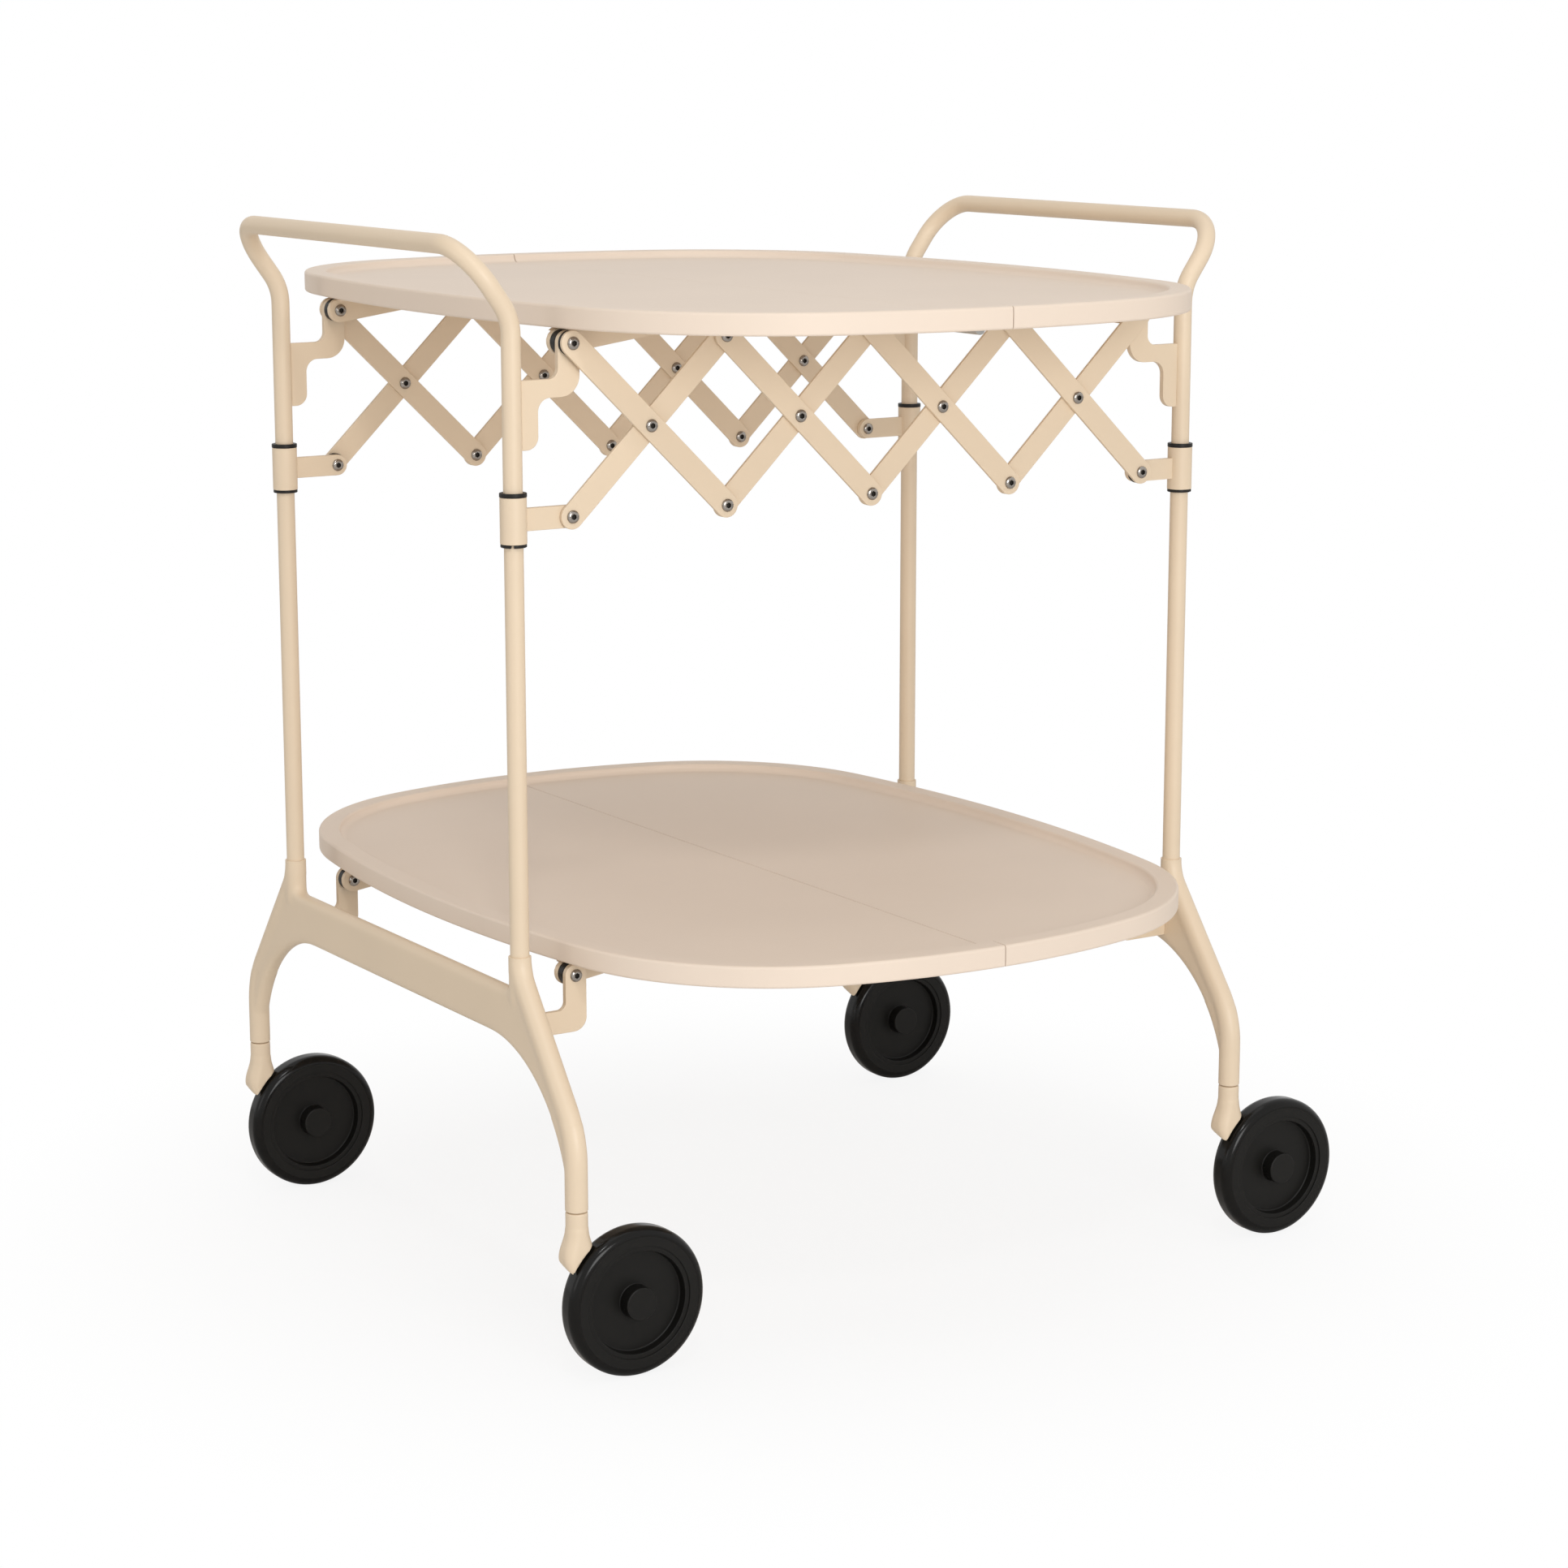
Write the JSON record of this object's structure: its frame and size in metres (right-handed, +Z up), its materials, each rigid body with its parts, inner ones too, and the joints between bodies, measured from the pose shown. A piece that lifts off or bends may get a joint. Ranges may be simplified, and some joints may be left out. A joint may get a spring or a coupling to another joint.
{
  "type": "folding serving trolley",
  "caption": "Two-tier folding serving trolley: bow-sided trays between tube side frames with handles, scissor lattice arms and swivelling castors.",
  "frame": {"origin": "on the floor, under the centre of the bounding box of the whole trolley standing open", "axes": "+Z up; X along the folding direction, from one side frame to the other; Y along each side frame"},
  "size_m": [0.6352, 0.64, 0.7],
  "materials": {
    "frame_coat": "satin powder coat, warm cream",
    "tray_coat": "matte moulded plastic, warm beige",
    "black_plastic": "matte black moulded plastic",
    "wheel_plastic": "black moulded plastic with glossy shoulders",
    "steel": "zinc plated steel"
  },
  "bodies": {
    "left_frame": {"left_frame_tube": "frame_coat", "left_leg_casting": "frame_coat", "left_upper_brackets": "frame_coat", "left_lower_brackets": "frame_coat", "left_pivot_bolts": "steel", "left_pivot_spacers": "black_plastic"},
    "right_frame": {"right_frame_tube": "frame_coat", "right_leg_casting": "frame_coat", "right_upper_brackets": "frame_coat", "right_lower_brackets": "frame_coat", "right_pivot_bolts": "steel", "right_pivot_spacers": "black_plastic"},
    "upper_left_leaf": {"upper_left_tray": "tray_coat", "upper_left_tray_lugs": "frame_coat", "upper_left_hinge_hardware": "steel"},
    "upper_right_leaf": {"upper_right_tray": "tray_coat", "upper_right_tray_lugs": "frame_coat", "upper_right_hinge_hardware": "steel"},
    "lower_left_leaf": {"lower_left_tray": "tray_coat", "lower_left_tray_lugs": "frame_coat", "lower_left_hinge_hardware": "steel"},
    "lower_right_leaf": {"lower_right_tray": "tray_coat", "lower_right_tray_lugs": "frame_coat", "lower_right_hinge_hardware": "steel"},
    "arms_a1": {"front_arm_a1": "frame_coat", "back_arm_a1": "frame_coat", "arm_a1_bolts": "steel"},
    "arms_a2": {"front_arm_a2": "frame_coat", "back_arm_a2": "frame_coat", "arm_a2_bolts": "steel"},
    "arms_a3": {"front_arm_a3": "frame_coat", "back_arm_a3": "frame_coat", "arm_a3_bolts": "steel"},
    "arms_a4": {"front_arm_a4": "frame_coat", "back_arm_a4": "frame_coat", "arm_a4_bolts": "steel"},
    "arms_b1": {"front_arm_b1": "frame_coat", "back_arm_b1": "frame_coat"},
    "arms_b2": {"front_arm_b2": "frame_coat", "back_arm_b2": "frame_coat", "arm_b2_bolts": "steel"},
    "arms_b3": {"front_arm_b3": "frame_coat", "back_arm_b3": "frame_coat", "arm_b3_bolts": "steel"},
    "arms_b4": {"front_arm_b4": "frame_coat", "back_arm_b4": "frame_coat"},
    "left_sleeves": {"left_sleeves": "frame_coat", "left_sleeve_bushes": "black_plastic", "left_sleeve_bolts": "steel"},
    "right_sleeves": {"right_sleeves": "frame_coat", "right_sleeve_bushes": "black_plastic", "right_sleeve_bolts": "steel"},
    "front_left_castor": {"front_left_castor_hood": "frame_coat"},
    "front_left_wheel": {"front_left_castor_wheel": "wheel_plastic"},
    "back_left_castor": {"back_left_castor_hood": "frame_coat"},
    "back_left_wheel": {"back_left_castor_wheel": "wheel_plastic"},
    "front_right_castor": {"front_right_castor_hood": "frame_coat"},
    "front_right_wheel": {"front_right_castor_wheel": "wheel_plastic"},
    "back_right_castor": {"back_right_castor_hood": "frame_coat"},
    "back_right_wheel": {"back_right_castor_wheel": "wheel_plastic"}
  },
  "joints": [
    {"name": "upper_tray_fold", "type": "hinge", "parent": "left_frame", "child": "upper_left_leaf", "pos_m": [-0.24205, 0, 0.6342], "axis": [0, -1, 0], "range_deg": [0, 79.62]},
    {"name": "upper_centre_hinge", "type": "hinge", "parent": "upper_left_leaf", "child": "upper_right_leaf", "pos_m": [-0.02395, 0, 0.6412], "axis": [0, -1, 0], "range_deg": [-159.25, 0]},
    {"name": "right_frame_pivot", "type": "hinge", "parent": "upper_right_leaf", "child": "right_frame", "pos_m": [0.19415, 0, 0.6342], "axis": [0, -1, 0], "range_deg": [0, 79.62]},
    {"name": "lower_tray_fold", "type": "hinge", "parent": "left_frame", "child": "lower_left_leaf", "pos_m": [-0.24205, 0, 0.2396], "axis": [0, -1, 0], "range_deg": [0, 79.62]},
    {"name": "lower_centre_hinge", "type": "hinge", "parent": "lower_left_leaf", "child": "lower_right_leaf", "pos_m": [-0.02395, 0, 0.2466], "axis": [0, -1, 0], "range_deg": [-159.25, 0]},
    {"name": "arms_a1_top_pivot", "type": "hinge", "parent": "left_frame", "child": "arms_a1", "pos_m": [-0.24205, 0, 0.6342], "axis": [0, -1, 0], "range_deg": [-39.8, 0]},
    {"name": "arms_b1_crossing", "type": "hinge", "parent": "arms_a1", "child": "arms_b1", "pos_m": [-0.18752, 0, 0.5814], "axis": [0, -1, 0], "range_deg": [0, 79.59]},
    {"name": "arms_a2_top_pivot", "type": "hinge", "parent": "arms_b1", "child": "arms_a2", "pos_m": [-0.133, 0, 0.6342], "axis": [0, -1, 0], "range_deg": [-79.59, 0]},
    {"name": "arms_b2_crossing", "type": "hinge", "parent": "arms_a2", "child": "arms_b2", "pos_m": [-0.07848, 0, 0.5814], "axis": [0, -1, 0], "range_deg": [0, 79.59]},
    {"name": "arms_b4_top_pivot", "type": "hinge", "parent": "right_frame", "child": "arms_b4", "pos_m": [0.19415, 0, 0.6342], "axis": [0, -1, 0], "range_deg": [0, 39.8]},
    {"name": "arms_a4_crossing", "type": "hinge", "parent": "arms_b4", "child": "arms_a4", "pos_m": [0.13962, 0, 0.5814], "axis": [0, -1, 0], "range_deg": [-79.59, 0]},
    {"name": "arms_b3_top_pivot", "type": "hinge", "parent": "arms_a4", "child": "arms_b3", "pos_m": [0.0851, 0, 0.6342], "axis": [0, -1, 0], "range_deg": [0, 79.59]},
    {"name": "arms_a3_crossing", "type": "hinge", "parent": "arms_b3", "child": "arms_a3", "pos_m": [0.03058, 0, 0.5814], "axis": [0, -1, 0], "range_deg": [-79.59, 0]},
    {"name": "left_sleeve_pivot", "type": "hinge", "parent": "arms_b1", "child": "left_sleeves", "pos_m": [-0.24205, 0, 0.5286], "axis": [0, -1, 0], "range_deg": [-39.8, 0]},
    {"name": "right_sleeve_pivot", "type": "hinge", "parent": "arms_a4", "child": "right_sleeves", "pos_m": [0.19415, 0, 0.5286], "axis": [0, -1, 0], "range_deg": [0, 39.8]},
    {"name": "front_left_swivel", "type": "hinge", "parent": "left_frame", "child": "front_left_castor", "pos_m": [-0.28065, -0.22975, 0.1109], "axis": [0, 0, 1], "continuous": true},
    {"name": "front_left_wheel_spin", "type": "hinge", "parent": "front_left_castor", "child": "front_left_wheel", "pos_m": [-0.24385, -0.23465, 0.0481], "axis": [0, 1, 0], "continuous": true},
    {"name": "back_left_swivel", "type": "hinge", "parent": "left_frame", "child": "back_left_castor", "pos_m": [-0.28065, 0.22975, 0.1109], "axis": [0, 0, 1], "continuous": true},
    {"name": "back_left_wheel_spin", "type": "hinge", "parent": "back_left_castor", "child": "back_left_wheel", "pos_m": [-0.24385, 0.22485, 0.0481], "axis": [0, 1, 0], "continuous": true},
    {"name": "front_right_swivel", "type": "hinge", "parent": "right_frame", "child": "front_right_castor", "pos_m": [0.23275, -0.22975, 0.1109], "axis": [0, 0, 1], "continuous": true},
    {"name": "front_right_wheel_spin", "type": "hinge", "parent": "front_right_castor", "child": "front_right_wheel", "pos_m": [0.26955, -0.23465, 0.0481], "axis": [0, 1, 0], "continuous": true},
    {"name": "back_right_swivel", "type": "hinge", "parent": "right_frame", "child": "back_right_castor", "pos_m": [0.23275, 0.22975, 0.1109], "axis": [0, 0, 1], "continuous": true},
    {"name": "back_right_wheel_spin", "type": "hinge", "parent": "back_right_castor", "child": "back_right_wheel", "pos_m": [0.26955, 0.22485, 0.0481], "axis": [0, 1, 0], "continuous": true}
  ],
  "couplings": [
    {"joint": "upper_centre_hinge", "follows": "upper_tray_fold", "ratio": -2},
    {"joint": "right_frame_pivot", "follows": "upper_tray_fold", "ratio": 1},
    {"joint": "lower_tray_fold", "follows": "upper_tray_fold", "ratio": 1},
    {"joint": "lower_centre_hinge", "follows": "upper_tray_fold", "ratio": -2},
    {"joint": "arms_a1_top_pivot", "follows": "upper_tray_fold", "ratio": -0.49979},
    {"joint": "arms_b1_crossing", "follows": "upper_tray_fold", "ratio": 0.99958},
    {"joint": "arms_a2_top_pivot", "follows": "upper_tray_fold", "ratio": -0.99958},
    {"joint": "arms_b2_crossing", "follows": "upper_tray_fold", "ratio": 0.99958},
    {"joint": "arms_b4_top_pivot", "follows": "upper_tray_fold", "ratio": 0.49979},
    {"joint": "arms_a4_crossing", "follows": "upper_tray_fold", "ratio": -0.99958},
    {"joint": "arms_b3_top_pivot", "follows": "upper_tray_fold", "ratio": 0.99958},
    {"joint": "arms_a3_crossing", "follows": "upper_tray_fold", "ratio": -0.99958},
    {"joint": "left_sleeve_pivot", "follows": "upper_tray_fold", "ratio": -0.49979},
    {"joint": "right_sleeve_pivot", "follows": "upper_tray_fold", "ratio": 0.49979}
  ]
}
